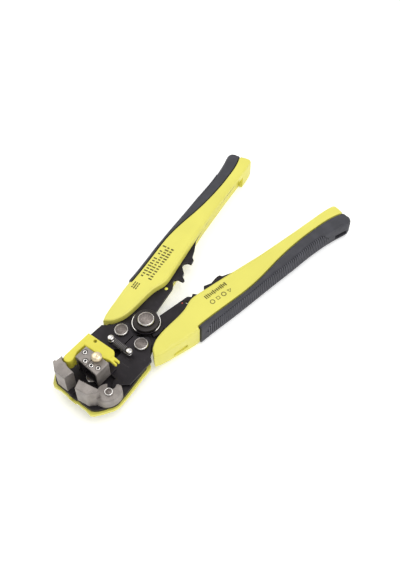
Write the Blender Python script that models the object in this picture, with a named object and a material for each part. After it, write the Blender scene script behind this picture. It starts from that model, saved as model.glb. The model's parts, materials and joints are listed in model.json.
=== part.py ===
"""Self-adjusting wire stripper lying on its open handles, jaws towards +Y, one object for each part.

X is across the tool, Z is up from the table. The main pivot stands on the Z axis. Sizes below are in
millimetres; plan outlines are given for the right-hand side (+X) and mirrored for the left.
"""

import math

import bmesh
import bpy
from mathutils import Vector

MM = 0.001
GAP = 0.3  # clearance between neighbouring parts

# Overall sizes
HANDLE_REACH = 142.0  # main pivot to the far end of a handle, along Y
HANDLE_THICK = 16.0
END_THICK = 13.6  # handle thickness at the far end, coming down from TAPER_FROM on
TAPER_FROM = 55.0
UNDERCUT = 2.9  # how far the lower half of a cover's inner side stands back
TIP_LIFT = 5.0  # height of the underside at the front tip
HEAD_REACH = 58.6  # main pivot to the front edge of the steel head, along Y
HEAD_HALF = 20.8  # half the widest part of the steel head

# Sheet stack of the head, from the lowest layer up
LOWER_Z = 5.4
SHEET = 2.0
COVER_SHEET = 1.5
GUARD_Z = LOWER_Z + SHEET + GAP
LEVER_Z = GUARD_Z + SHEET + GAP
UPPER_Z = LEVER_Z + SHEET + GAP
DECK_Z = UPPER_Z + COVER_SHEET + GAP  # where parts that stand on the head start
LAP = 0.8  # thickness of the tongue that crosses the gap between the halves
GUARD_LIP = 0.9  # how far the guard stands out beyond the steel

# Linkage: pivot on the Z axis, arm rivets A, head pin H
ARM = (7.3, 12.5)
HEAD_PIN = (0.0, 43.7)
EYE = 7.6  # lever eye at the main pivot
ARM_EYE = 6.2
RIVET_HEAD = 4.0
RIVET_SHANK = 2.6
PIVOT_HEAD = 4.7
PIVOT_SHANK = 2.9
DISC = 7.3
DISC_TALL = 2.7
WASHER = 8.2
SWING = math.radians(3.7)  # each head half turns this much about the head pin
PIN_POST = (6.7, 21.2)
PIN_TOP = DECK_Z + 4.2
PIN_NECK = 1.0
LINK_HALF = 3.0
SLOT_HALF = 2.4

# Jaws, cutter and stop
JAW_BOLT = (15.8, 46.6)
BOLT_SHANK = 1.6
JAW_Z = UPPER_Z
FIXED_JAW_TALL = 13.7
SWING_JAW_TALL = 12.8
FLANGE_TALL = 6.3
FINGER_TIP = (-14.6, 42.4)
FINGER = 0.8
NOTCH_CENTRE = (-13.9, 42.6)
NOTCH = 2.3
BLOCK_HALF = 8.1
BLOCK_BACK = 37.2
BLOCK_FRONT = 46.2
BLOCK_TOP = DECK_Z + 13.4
CAP = 1.6
BLADE_FACE = 1.9  # cutting edge to the wire's path, blades open
BLOCK_SCREW = 1.3
KNOB = (1.85, 39.3)
KNOB_HEAD = 2.9
KNOB_SHANK = 1.3
STOP_TOP = DECK_Z + 11.9
STOP_Z = DECK_Z + 4.7
STOP_NOSE = 2.8
STOP_REACH = 50.2
POCKET = 1.3  # depth of the screw pockets in the cap
SPRING_COIL = 1.7
SPRING_WIRE = 0.28
SPRING_TURNS = 9.5

YELLOW = ("yellow_plastic", (0.93, 0.86, 0.16), 0.0, 0.4)
RUBBER = ("dark_rubber", (0.06, 0.06, 0.07), 0.0, 0.8)
BLACK = ("black_steel", (0.025, 0.022, 0.025), 0.7, 0.45)
SINTER = ("sintered_steel", (0.30, 0.28, 0.27), 0.8, 0.45)
BRIGHT = ("bright_steel", (0.62, 0.60, 0.58), 1.0, 0.25)
BRASS = ("brass", (0.80, 0.66, 0.42), 1.0, 0.3)


def clear_scene():
    for obj in list(bpy.data.objects):
        bpy.data.objects.remove(obj)
    for group in list(bpy.data.collections):
        bpy.data.collections.remove(group)


def collection(name):
    group = bpy.data.collections.new(name)
    bpy.context.scene.collection.children.link(group)
    return group


def material(look):
    name, colour, metal, rough = look
    made = bpy.data.materials.get(name)
    if made is None:
        made = bpy.data.materials.new(name)
        made.use_nodes = True
        shader = made.node_tree.nodes["Principled BSDF"]
        shader.inputs["Base Color"].default_value = (*colour, 1.0)
        shader.inputs["Metallic"].default_value = metal
        shader.inputs["Roughness"].default_value = rough
    return made


def finish(name, mesh_data, look, pivot=(0.0, 0.0, 0.0)):
    """Link a bmesh in millimetres as an object in metres, its origin on its own axis."""
    bmesh.ops.recalc_face_normals(mesh_data, faces=mesh_data.faces)
    bmesh.ops.translate(mesh_data, verts=mesh_data.verts, vec=-Vector(pivot))
    bmesh.ops.scale(mesh_data, verts=mesh_data.verts, vec=(MM, MM, MM))
    mesh = bpy.data.meshes.new(name)
    mesh_data.to_mesh(mesh)
    mesh_data.free()
    obj = bpy.data.objects.new(name, mesh)
    obj.location = Vector(pivot) * MM
    if look is None:
        CUTTERS.objects.link(obj)
        obj.hide_render = True
        obj.display_type = "WIRE"
    else:
        mesh.materials.append(material(look))
        PARTS.objects.link(obj)
    return obj


def arc(centre, radius, start, end, count):
    """Points along an arc, angles in degrees."""
    return [
        (
            centre[0] + radius * math.cos(math.radians(start + (end - start) * i / count)),
            centre[1] + radius * math.sin(math.radians(start + (end - start) * i / count)),
        )
        for i in range(count + 1)
    ]


def circle(centre, radius, count=24):
    return arc(centre, radius, 0.0, 360.0, count)[:-1]


def mirrored(outline, side):
    """The outline itself for side +1, its mirror image for side -1."""
    return outline if side > 0 else [(-x, *rest) for x, *rest in reversed(outline)]


def smooth(points, steps=3):
    """An open Catmull-Rom curve through the points."""
    ends = [points[0], *points, points[-1]]
    out = []
    for p0, p1, p2, p3 in zip(ends, ends[1:], ends[2:], ends[3:]):
        for i in range(steps):
            t = i / steps
            out.append(
                tuple(
                    0.5 * (2 * b + (c - a) * t + (2 * a - 5 * b + 4 * c - d) * t * t
                           + (3 * b - a - 3 * c + d) * t ** 3)
                    for a, b, c, d in zip(p0, p1, p2, p3)
                )
            )
    return [*out, points[-1]]


def inward(outline):
    """For each corner of an anticlockwise outline, the mitred step that moves its edges in by 1."""
    steps = []
    for i, here in enumerate(outline):
        before = Vector(outline[i - 1][:2])
        after = Vector(outline[(i + 1) % len(outline)][:2])
        into = (Vector(here[:2]) - before).normalized()
        away = (after - Vector(here[:2])).normalized()
        normals = Vector((-into.y, into.x)), Vector((-away.y, away.x))
        steps.append((normals[0] + normals[1]) / max(0.4, 1.0 + normals[0].dot(normals[1])))
    return steps


def anticlockwise(outline):
    area = sum(
        a[0] * b[1] - b[0] * a[1] for a, b in zip(outline, [*outline[1:], outline[0]])
    )
    return outline if area > 0 else list(reversed(outline))


def prism(name, outline, z0, z1, look, top=0.0, bottom=0.0, steps=3, pivot=(0.0, 0.0, 0.0)):
    """An upright prism with rounded rims. A third value on a corner scales the rounding there."""
    outline = anticlockwise(outline)
    step = inward(outline)
    levels = []
    if bottom:
        levels += [(z0 + bottom * (1 - math.cos(a)), bottom * (1 - math.sin(a)))
                   for a in (math.pi / 2 * i / steps for i in range(steps))]
    levels.append((z0 + bottom, 0.0))
    levels.append((z1 - top, 0.0))
    if top:
        levels += [(z1 - top * (1 - math.sin(a)), top * (1 - math.cos(a)))
                   for a in (math.pi / 2 * (i + 1) / steps for i in range(steps))]
    mesh_data = bmesh.new()
    rings = [
        [
            mesh_data.verts.new(
                (*(Vector(p[:2]) + s * inset * (p[2] if len(p) > 2 else 1.0)), z)
            )
            for p, s in zip(outline, step)
        ]
        for z, inset in levels
    ]
    for low, high in zip(rings, rings[1:]):
        for i in range(len(outline)):
            j = (i + 1) % len(outline)
            mesh_data.faces.new((low[i], low[j], high[j], high[i]))
    mesh_data.faces.new(list(reversed(rings[0])))
    mesh_data.faces.new(rings[-1])
    return finish(name, mesh_data, look, pivot)


def turned(name, centre, profile, look, count=24):
    """A body of revolution about an upright axis, its profile (radius, height) from the bottom up."""
    mesh_data = bmesh.new()
    rings = [
        [mesh_data.verts.new((x, y, z)) for x, y in circle(centre, radius, count)]
        for radius, z in profile
    ]
    for low, high in zip(rings, rings[1:]):
        for i in range(count):
            j = (i + 1) % count
            mesh_data.faces.new((low[i], low[j], high[j], high[i]))
    mesh_data.faces.new(list(reversed(rings[0])))
    mesh_data.faces.new(rings[-1])
    return finish(name, mesh_data, look, (*centre, 0.0))


def wire(name, path, radius, look, sides=6):
    """A round wire swept along a path of points."""
    mesh_data = bmesh.new()
    path = [Vector(p) for p in path]
    along = [(b - a).normalized() for a, b in zip(path, path[1:])]
    along = [along[0], *[(a + b).normalized() for a, b in zip(along, along[1:])], along[-1]]
    across = along[0].orthogonal().normalized()
    rings = []
    for point, ahead in zip(path, along):
        across = (across - ahead * across.dot(ahead)).normalized()
        other = ahead.cross(across)
        rings.append([
            mesh_data.verts.new(
                point + radius * (math.cos(a) * across + math.sin(a) * other)
            )
            for a in (2 * math.pi * i / sides for i in range(sides))
        ])
    for low, high in zip(rings, rings[1:]):
        for i in range(sides):
            j = (i + 1) % sides
            mesh_data.faces.new((low[i], low[j], high[j], high[i]))
    mesh_data.faces.new(list(reversed(rings[0])))
    mesh_data.faces.new(rings[-1])
    return finish(name, mesh_data, look)


def boolean(obj, other, operation):
    modifier = obj.modifiers.new(f"{operation.lower()} {other.name}", "BOOLEAN")
    modifier.operation = operation
    modifier.solver = "EXACT"
    modifier.object = other


def cut(obj, *tools):
    for tool in tools:
        boolean(obj, tool, "DIFFERENCE")


def join(obj, *extras):
    for extra in extras:
        boolean(obj, extra, "UNION")


def bore(name, centre, radius, z0=-2.0, z1=40.0):
    return prism(name, circle(centre, radius), z0, z1, None)


def at(side, point):
    return (side * point[0], point[1])


def far(points):
    """Stretch the part of a handle outline behind its shoulder to HANDLE_REACH."""
    shoulder, drawn = 28.0, 142.0
    grow = (HANDLE_REACH - shoulder) / (drawn - shoulder)
    return [
        (x, y if y > -shoulder else -shoulder + (y + shoulder) * grow, *rest)
        for x, y, *rest in points
    ]


def wide(points):
    """Fit a head outline, drawn 20.8 wide and 59.2 long, to HEAD_HALF and HEAD_REACH."""
    front = HEAD_REACH / 59.2
    return [
        (x * HEAD_HALF / 20.8 if x > 12 else x, y * front if y > 50 else y) for x, y in points
    ]


# ---------------------------------------------------------------- handles

COVER_INNER = [
    (18.9, 14.9), (16.8, 13.4), (14.3, 11.0), (12.1, 6.0), (11.2, 0.5), (11.2, -7.5), (11.4, -14.0),
    (11.0, -20.0), (9.7, -25.0), (9.4, -28.5), (10.1, -33.0), (12.7, -44.0), (14.5, -52.0),
    (16.4, -60.0), (18.4, -69.0), (20.8, -80.0), (22.6, -90.0), (24.4, -100.0), (26.1, -110.0),
    (27.7, -120.0), (28.9, -128.0), (30.0, -134.0), (31.1, -138.6),
]
COVER_END = [(32.0, -141.0), (33.6, -142.0), (36.8, -141.4), (40.0, -140.2)]
RUBBER_SEAM = [
    (39.6, -138.0), (37.9, -134.0), (36.1, -128.0), (34.5, -120.0), (32.9, -110.0), (31.8, -100.0),
    (31.1, -90.0), (30.9, -80.0), (31.1, -70.0), (30.9, -60.0), (30.2, -52.0), (29.0, -44.0),
    (27.6, -36.0), (26.2, -28.0), (25.0, -20.0), (24.5, -15.5),
]
COVER_OUTER = [(26.2, -15.0), (25.1, -8.0), (23.4, 0.0), (22.0, 6.0), (20.5, 11.6)]
GRIP_OUTER = [
    (27.3, -15.5), (28.1, -22.0), (29.0, -28.0), (30.3, -36.0), (31.6, -44.0), (32.7, -52.0),
    (33.9, -60.0), (35.4, -70.0), (36.9, -80.0), (38.4, -90.0), (39.6, -100.0), (41.1, -110.0),
    (43.1, -120.0), (45.3, -128.0), (47.0, -133.0), (47.8, -136.4), (46.9, -139.2), (44.6, -140.6),
]


def taper(obj):
    """Bring a handle's top down towards its far end, and its underside up towards its front tip."""
    for vertex in obj.data.vertices:
        y, z = vertex.co.y / MM, vertex.co.z / MM
        behind = max(0.0, -y - TAPER_FROM) / (HANDLE_REACH - TAPER_FROM)
        ahead = max(0.0, y + 12.0) / 28.0
        z *= 1.0 - behind * (1.0 - END_THICK / HANDLE_THICK)
        vertex.co.z = MM * (z + ahead * TIP_LIFT * (1.0 - z / HANDLE_THICK))


def handle_cover(side, name):
    """Moulded cover: full rounding on its free rims, hardly any where the rubber meets it."""
    free = [(*p, 0.4 if p[1] > 5.0 else 0.7) for p in smooth(COVER_INNER, 2) + COVER_END]
    seam = [(*p, 0.12) for p in smooth(RUBBER_SEAM, 2)]
    front = [(*p, 1.0 if p[1] < 5.0 else 0.6) for p in smooth(COVER_OUTER, 2)]
    outline = mirrored(far(free + seam + front), side)
    cover = prism(name, outline, 0.0, HANDLE_THICK, YELLOW, 2.0, 2.0, 2)
    taper(cover)
    slot = [
        (12.0, 21.0), (16.6, 15.0), (18.6, 8.6), (20.6, 2.0), (20.8, -30.0), (21.4, -50.0), (23.2, -66.0),
        (25.2, -85.0), (27.8, -105.0), (30.2, -122.5), (24.0, -124.0), (2.0, -70.0), (2.0, 10.0),
    ]
    lever_slot = prism(
        f"{name}_slot", mirrored(far(slot), side), LEVER_Z - GAP, LEVER_Z + SHEET + GAP, None
    )
    recess = [(21.9, 3.0), (23.8, -6.4), (28.0, -5.6), (26.0, 4.0)]
    side_recess = prism(f"{name}_recess", mirrored(recess, side), 5.6, 8.4, None)
    inner = smooth([p for p in COVER_INNER if -133.0 < p[1] < -40.0], 2)
    shelf = [(x + UNDERCUT * min(1.0, (-40.0 - y) / 12.0, (134.0 + y) / 5.0), y) for x, y in inner]
    room = prism(
        f"{name}_undercut", mirrored(far([(0.0, shelf[0][1])] + shelf + [(0.0, shelf[-1][1])]), side),
        -1.0, LEVER_Z - GAP + 0.2, None,
    )
    cut(cover, lever_slot, side_recess, room)


def grip(side, name):
    seam = [(x + 0.35, y, 0.12) for x, y in smooth(RUBBER_SEAM, 2)][::-1]
    outer = [(x, y, min(1.0, 0.38 + max(0.0, -y - 56.0) / 35.0)) for x, y in smooth(GRIP_OUTER, 2)]
    outline = far(seam + [(40.4, -140.0, 0.3)] + outer[::-1])
    made = prism(name, mirrored(outline, side), 0.0, HANDLE_THICK, RUBBER, 3.6, 3.6)
    taper(made)
    loop_hole = [(42.6, -126.6), (45.6, -135.4), (52.0, -134.0), (50.0, -125.0)]
    cut(made, prism(f"{name}_loop_hole", mirrored(far(loop_hole), side), 3.2, 6.6, None))


# ---------------------------------------------------------------- levers

RIGHT_NESTS = [
    (3.6, -19.7), (4.3, -23.6), (5.2, -28.5), (6.4, -30.6), (8.0, -32.0), (8.4, -34.0), (7.0, -35.8),
    (3.9, -36.3), (3.6, -37.6), (6.3, -38.9), (7.2, -41.4), (9.6, -43.2), (11.6, -45.0),
    (11.9, -47.0), (10.6, -48.9), (8.3, -49.6), (9.2, -52.8), (11.0, -53.6), (13.6, -59.0),
]
LEFT_NESTS = [
    (3.6, -19.7), (4.8, -26.3), (5.3, -29.2), (7.4, -30.8), (6.4, -32.8), (9.2, -34.4),
    (10.4, -36.6), (9.8, -39.2), (7.9, -41.2), (10.0, -45.6), (9.6, -50.4), (10.0, -53.0),
    (11.8, -53.8), (16.0, -62.0),
]
LEVER_TAIL = [
    (18.0, -66.0), (20.8, -76.0), (23.6, -90.0), (26.0, -104.0), (28.2, -118.0), (29.4, -121.0),
    (27.2, -105.0), (24.6, -85.0), (22.6, -66.0), (20.8, -50.0), (20.2, -30.0), (20.0, 1.0),
    (17.9, 9.0),
]


def right_lever():
    """Lower of the two levers at the pivot: its eye lies in the lever layer."""
    outline = (
        arc(ARM, ARM_EYE, -20.0, 180.0, 14)
        + arc((0.0, 0.0), EYE, 97.0, 280.3, 18)
        + far(RIGHT_NESTS + LEVER_TAIL)
    )
    lever = prism("right_lever", outline, LEVER_Z, LEVER_Z + SHEET, BLACK)
    cut(lever, PIVOT_BORE, RIVET_BORES[1], WINDOWS[1])


def left_lever():
    """Goes round the other eye and carries its own one layer higher."""
    outline = (
        arc(ARM, ARM_EYE, -20.0, 235.0, 16)
        + arc((0.0, 0.0), EYE + GAP + 0.1, 63.0, -79.7, 14)
        + far(LEFT_NESTS + LEVER_TAIL)
    )
    lever = prism("left_lever", mirrored(outline, -1), LEVER_Z, LEVER_Z + SHEET, BLACK)
    raised = arc((0.0, 0.0), EYE, 25.0, 335.0, 24) + arc((0.0, 0.0), 10.2, -25.0, 25.0, 5)
    riser = arc((0.0, 0.0), 10.2, -25.0, 25.0, 5) + arc((0.0, 0.0), EYE + GAP + 0.3, 25.0, -25.0, 5)
    top = UPPER_Z + COVER_SHEET
    join(
        lever,
        prism("left_eye_riser", mirrored(riser, -1), LEVER_Z + 1.0, top - 0.4, None),
        prism("left_eye", mirrored(raised, -1), UPPER_Z, top, None),
    )
    cut(lever, PIVOT_BORE, RIVET_BORES[-1], WINDOWS[-1])


# ---------------------------------------------------------------- pivot and rivets


def headed(name, centre, shank, head, low, bottom, top, high, chamfer):
    """A rivet whose shank and two heads are one body."""
    profile = [
        (head - chamfer, low), (head, low + chamfer), (head, bottom), (shank, bottom),
        (shank, top), (head, top), (head, high - chamfer), (head - chamfer, high),
    ]
    return turned(name, centre, profile, BRIGHT)


def pivot_group():
    deck = DECK_Z
    ring = turned(
        "pivot_washer", (0.0, 0.0), [(WASHER, deck), (WASHER, deck + 0.6), (WASHER - 0.2, deck + 0.9)],
        BRIGHT, 32,
    )
    disc_top = deck + DISC_TALL
    upper = turned(
        "upper_disc", (0.0, 0.0),
        [(DISC, deck), (DISC, disc_top - 0.5), (DISC - 0.5, disc_top)], BLACK, 32,
    )
    lower = turned(
        "lower_disc", (0.0, 0.0),
        [(DISC - 0.5, LOWER_Z), (DISC, LOWER_Z + 0.5), (DISC, GUARD_Z - GAP)], BLACK, 32,
    )
    cut(ring, bore("washer_bore", (0.0, 0.0), DISC + GAP / 2))
    cut(upper, PIVOT_BORE)
    cut(lower, PIVOT_BORE)
    top = disc_top + GAP
    headed("main_rivet", (0.0, 0.0), PIVOT_SHANK, PIVOT_HEAD, 0.0, LOWER_Z - GAP, top, top + 1.2, 0.6)


def centre_link():
    """Keeps the cutter carriage on the tool's centre line."""
    side = [(LINK_HALF, 12.0), (LINK_HALF, 36.0), (1.6, 37.4)]
    outline = arc((0.0, 0.0), EYE, 115.0, 425.0, 24) + side + mirrored(side, -1)
    link = prism("centre_link", outline, GUARD_Z, GUARD_Z + SHEET, BLACK)
    cut(link, PIVOT_BORE)


# ---------------------------------------------------------------- head halves

UPPER_OUTLINE = [
    (0.35, 10.6), (3.6, 9.0), (7.3, 6.4), (11.0, 8.2), (13.2, 11.6), (16.2, 14.9), (18.5, 16.6),
    (19.2, 34.4), (14.2, 39.2), (11.2, 39.6), (10.8, 36.8), (SLOT_HALF, 36.2), (SLOT_HALF, 23.2),
    (0.35, 22.0),
]
BASE_SIDE = [
    (12.6, 58.2), (15.6, 56.0), (18.8, 51.0), (20.6, 47.2), (20.8, 44.0), (20.0, 35.0), (18.8, 26.0),
    (18.2, 20.6),
]
GUARD_SIDE = [
    (13.2, 59.9), (16.8, 57.4), (20.2, 52.2), (22.3, 47.6), (22.6, 44.0), (21.8, 34.8), (20.8, 26.0),
    (20.2, 18.9), (18.4, 16.9), (15.4, 14.9), (12.8, 12.0), (11.0, 8.6), (9.4, 7.2), (7.3, 6.9),
]


def seam_x(y):
    """Half the gap between the halves in front of the head pin, wide enough to close on."""
    return GAP + 0.05 + max(0.0, y - HEAD_PIN[1]) * math.tan(SWING)


def knuckle(side, owner):
    """Inner edge of a half around the head pin: a lug on the owner's side, its pocket on the other."""
    radius = 5.0
    if side == owner:
        return arc(HEAD_PIN, radius, 60.0, 300.0, 16)
    return arc(HEAD_PIN, radius + GAP + 0.1, 60.0, -60.0, 10)


def front_edge(y):
    return [(seam_x(y), y), (9.0, y - 0.3)]


def lap(right_plate, left_plate, z, front):
    """A thin tongue of the right plate that lies under the left one, across the gap at the front."""
    tongue = [(3.0, 51.0), (3.0, front), (-2.6, front), (-2.2, 51.0)]
    pocket = [(2.0, 50.4), (2.0, front + 5.0), (-5.6, front + 5.0), (-4.6, 50.4)]
    name = right_plate.name
    join(right_plate, prism(f"{name}_tongue", tongue, z, z + LAP, None))
    cut(left_plate, prism(f"{name}_pocket", pocket, z - 1.0, z + LAP + GAP, None))


def upper_plate(side, name):
    plate = prism(name, mirrored(UPPER_OUTLINE, side), UPPER_Z, UPPER_Z + COVER_SHEET, BLACK)
    cut(plate, RIVET_BORES[side], POST_BORES[side])
    return plate


def base_plate(side, name):
    inner = [(SLOT_HALF, 20.6), (SLOT_HALF, 38.4)] + knuckle(side, 1)[::-1]
    edge = wide(front_edge(HEAD_REACH) + smooth(BASE_SIDE, 2))
    outline = mirrored(inner + [(seam_x(49.6), 49.6)] + edge, side)
    plate = prism(name, outline, LEVER_Z, LEVER_Z + SHEET, BLACK)
    cut(plate, PIN_BORE)
    if side < 0:
        cut(plate, BOLT_BORE)
    return plate


def lower_plate(side, name):
    inner = [(0.35, 11.0), (0.35, 38.4)] + knuckle(side, -1)[::-1]
    edge = [
        (seam_x(49.6), 49.6), (1.2, 54.0), (13.0, 54.0), (17.0, 47.0), (16.4, 20.0), (11.4, 8.4),
        (7.3, 6.6), (3.6, 9.6),
    ]
    plate = prism(name, mirrored(inner + edge, side), LOWER_Z, LOWER_Z + SHEET, BLACK)
    cut(plate, PIN_BORE, RIVET_BORES[side])


def guard(side, name):
    lip = GUARD_LIP / 1.7
    y = HEAD_REACH + GUARD_LIP
    room = LINK_HALF + 1.1
    inner = [(room, 12.4), (room, 38.6), (0.4, 39.4), (0.4, 49.6)]
    side_edge = [(x + (lip - 1.0) * 1.7 if x > 15 else x, v) for x, v in smooth(GUARD_SIDE, 2)]
    outer = wide(front_edge(y) + side_edge)
    plate = prism(name, mirrored(inner + outer, side), GUARD_Z, GUARD_Z + SHEET, YELLOW)
    cut(plate, PIN_CLEAR, RIVET_BORES[side])
    return plate


def spring_pin(side, name):
    deck = DECK_Z
    profile = [
        (1.2, UPPER_Z + 0.2), (1.2, deck), (1.6, deck), (1.6, deck + 1.6), (PIN_NECK, deck + 1.6),
        (PIN_NECK, deck + 2.9), (1.75, deck + 2.9), (1.75, PIN_TOP - 0.5), (1.2, PIN_TOP),
    ]
    turned(name, at(side, PIN_POST), profile, BRIGHT, 16)


def head_pin():
    top = UPPER_Z
    headed("head_pin", HEAD_PIN, 1.8, 3.2, LOWER_Z - 1.3, LOWER_Z - GAP, top, top + 1.0, 0.3)


# ---------------------------------------------------------------- jaws


def nose_centre():
    return (BLOCK_HALF + 0.4 + STOP_NOSE, STOP_REACH - STOP_NOSE)


def fixed_jaw():
    """Its back is hollowed to clear the round nose of the wire stop."""
    outline = (
        [(3.1, 52.0), (nose_centre()[0] - 3.0, 51.4)]
        + arc(nose_centre(), STOP_NOSE + GAP + 0.2, 112.0, 28.0, 9)
        + [(14.6, 48.7), (15.0, 52.6), (15.9, 52.9), (15.9, 54.1), (11.2, 57.6), (4.2, 57.6)]
    )
    prism("fixed_jaw", outline, JAW_Z, JAW_Z + FIXED_JAW_TALL, SINTER, 0.35, 0.0, 1)


def swing_jaw():
    """Tall gripping block on a low flange that turns on the jaw bolt."""
    bx, by = -JAW_BOLT[0], JAW_BOLT[1]
    teeth = [(-2.4 - 0.55 * i, 52.75 - 0.12 * i + (0.28 if i % 2 else 0.0)) for i in range(8)]
    block = [(-1.7, 52.9), (-3.6, 57.9), (-10.6, 57.0), (-13.5, 54.0), (-14.6, 51.2), (-13.1, 50.9)]
    block += teeth[::-1]
    rim = [(-16.8, 52.9), (-18.9, 51.3), (-20.6, 48.8), (-21.3, 46.0), (-21.2, 43.0), (-20.1, 40.9)]
    flange = (
        [(-9.6, 46.4), (-10.4, 55.0), (-13.4, 53.8)]
        + smooth(rim, 2)
        + [(-18.2, 39.6), (-16.3, 39.9)]
        + arc(NOTCH_CENTRE, NOTCH, 228.0, 20.0, 12)
        + [(-10.9, 43.9)]
    )
    tail = prism("swing_jaw", flange, JAW_Z, JAW_Z + FLANGE_TALL, SINTER, 0.3, 0.0, 1, (bx, by, 0.0))
    grip_block = prism("swing_jaw_block", block, JAW_Z, JAW_Z + SWING_JAW_TALL, None, 0.3, 0.0, 1)
    join(tail, grip_block)
    cut(tail, BOLT_BORE)


def jaw_bolt():
    top = JAW_Z + FLANGE_TALL + GAP
    profile = [
        (BOLT_SHANK, LEVER_Z), (BOLT_SHANK, top), (2.3, top), (2.3, top + 0.5), (2.0, top + 0.8),
    ]
    turned("jaw_bolt", at(-1, JAW_BOLT), profile, BRIGHT, 20)


def finger():
    """Lug of the left upper plate that reaches into the notch of the swinging jaw."""
    outline = arc(FINGER_TIP, FINGER, 25.0, 205.0, 8) + [(-14.6, 38.6), (-11.6, 38.6), (-11.8, 40.2)]
    return prism("jaw_finger", outline, UPPER_Z, UPPER_Z + COVER_SHEET, None)


# ---------------------------------------------------------------- cutter


def carriage():
    outline = [(-7.6, 32.4), (7.6, 32.4), (7.6, 45.4), (-7.6, 45.4)]
    plate = prism("blade_carriage", outline, DECK_Z, DECK_Z + 1.2, BLACK)
    neck = prism(
        "carriage_neck", [(-1.6, 32.4), (1.6, 32.4), (1.6, 35.4), (-1.6, 35.4)],
        LEVER_Z, DECK_Z + 0.6, None,
    )
    join(plate, neck)


def block_front(side, x):
    """Front edge of the blocks, a little askew across the tool."""
    return BLOCK_FRONT - 0.4 - 0.07 * side * x


def block(side, name):
    """Cap over the blade stack with a solid rear and outer wall."""
    foot = DECK_Z + 1.2 + GAP
    front = block_front(side, BLOCK_HALF)
    cap = [(0.12, BLOCK_BACK), (BLOCK_HALF, BLOCK_BACK), (BLOCK_HALF, front), (0.12, block_front(side, 0.12))]
    body = [
        (3.0, BLOCK_BACK), (BLOCK_HALF, BLOCK_BACK), (BLOCK_HALF, front), (BLOCK_HALF - 0.9, front),
        (BLOCK_HALF - 0.9, 42.0), (3.0, 42.0),
    ]
    made = prism(name, mirrored(cap, side), BLOCK_TOP - CAP, BLOCK_TOP, SINTER, 0.25, 0.0, 1)
    join(made, prism(f"{name}_body", mirrored(body, side), foot, BLOCK_TOP - CAP / 2, None))
    return made


def blade(side, name):
    """Stack of blades with their ribbed front and an edge that points at the wire."""
    foot = DECK_Z + 1.2 + 2 * GAP
    back, front = 42.0 + GAP, BLOCK_FRONT - 1.3
    outer = BLOCK_HALF - 0.9 - GAP
    pitch = (outer - 0.5 - BLADE_FACE - 1.05) / 3
    ribs = []
    for i in range(4):
        x = outer - 0.5 - pitch * i
        ribs += [(x, front), (x, front - 0.5), (x - 0.5, front - 0.5), (x - 0.5, front)]
    tip = BLADE_FACE + 0.7
    outline = [(BLADE_FACE, 43.9), (tip, back), (outer, back), (outer, front), *ribs, (tip, front)]
    prism(name, mirrored(outline, side), foot, BLOCK_TOP - CAP - GAP, BLACK)


def block_screw(name, x, y, made):
    """Flush socket screw in its own pocket of the block."""
    cut(made, bore(f"{name}_pocket", (x, y), BLOCK_SCREW + GAP, BLOCK_TOP - POCKET, BLOCK_TOP + 1.0))
    foot = BLOCK_TOP - POCKET + GAP
    profile = [(BLOCK_SCREW, foot), (BLOCK_SCREW, BLOCK_TOP - 0.2), (BLOCK_SCREW - 0.3, BLOCK_TOP)]
    screw = turned(name, (x, y), profile, BRIGHT, 18)
    cut(screw, prism(f"{name}_socket", circle((x, y), 0.6, 6), BLOCK_TOP - 0.6, BLOCK_TOP + 1.0, None))


def depth_knob(made):
    x, y = at(-1, KNOB)
    cut(made, bore("knob_pocket", (x, y), KNOB_SHANK + GAP, BLOCK_TOP - POCKET, BLOCK_TOP + 1.0))
    head = BLOCK_TOP + 1.1
    profile = [
        (KNOB_SHANK, BLOCK_TOP - POCKET + GAP), (KNOB_SHANK, head), (KNOB_HEAD - 0.2, head),
        (KNOB_HEAD, head + 0.3), (KNOB_HEAD, head + 1.7), (KNOB_HEAD - 0.5, head + 2.2),
        (KNOB_HEAD - 1.6, head + 2.5),
    ]
    knob = turned("depth_knob", (x, y), profile, BRASS)
    slot = [(x - 4.0, y - 0.35), (x + 4.0, y - 0.35), (x + 4.0, y + 0.35), (x - 4.0, y + 0.35)]
    cut(knob, prism("knob_slot", slot, head + 1.9, head + 4.0, None))


def wire_stop():
    """Bar beside the cutter, a cross plate behind it and a two-fingered tail."""
    bx = BLOCK_HALF + 0.4
    waist = bx + 1.5
    bar = (
        [(waist, 29.4), (bx + 2 * STOP_NOSE, 29.4)]
        + arc(nose_centre(), STOP_NOSE, 0.0, 180.0, 8)
        + [(bx + 0.3, STOP_REACH - 5.0), (waist, STOP_REACH - 8.0)]
    )
    stop = prism("wire_stop", bar, STOP_Z + 0.3, STOP_TOP, YELLOW, 1.3, 0.0, 2)
    ledge = [(bx, 32.0), (bx + 3.0, 32.0), (bx + 3.0, 46.0), (bx, 46.0)]
    plate = [(11.4, 29.6), (11.4, 36.6), (-3.0, 36.2), (-6.2, 35.2), (-6.2, 31.4), (-4.8, 29.7), (-3.6, 29.2)]
    wall = [(9.4, 33.4), (9.4, 36.0), (-2.8, 36.0), (-2.8, 33.4)]
    prongs = [
        (-5.0, 31.7), (-10.6, 32.0), (-11.2, 32.6), (-10.8, 33.2), (-8.4, 33.4), (-8.4, 33.9),
        (-10.7, 34.1), (-11.1, 34.8), (-10.4, 35.3), (-5.0, 35.0),
    ]
    join(
        stop,
        prism("stop_ledge", ledge, STOP_Z + 0.3, STOP_TOP - 4.5, None),
        prism("stop_plate", plate, STOP_TOP - 2.2, STOP_TOP - 0.2, None, 0.4, 0.0, 1),
        prism("stop_wall", wall, STOP_Z, STOP_TOP - 1.0, None),
        prism("stop_prongs", prongs, STOP_TOP - 2.0, STOP_TOP - 0.5, None, 0.3, 0.0, 1),
    )
    cut(stop, bore("stop_hole", (7.4, 31.3), 1.0, STOP_TOP - 4.0, STOP_TOP + 2.0))


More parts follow.
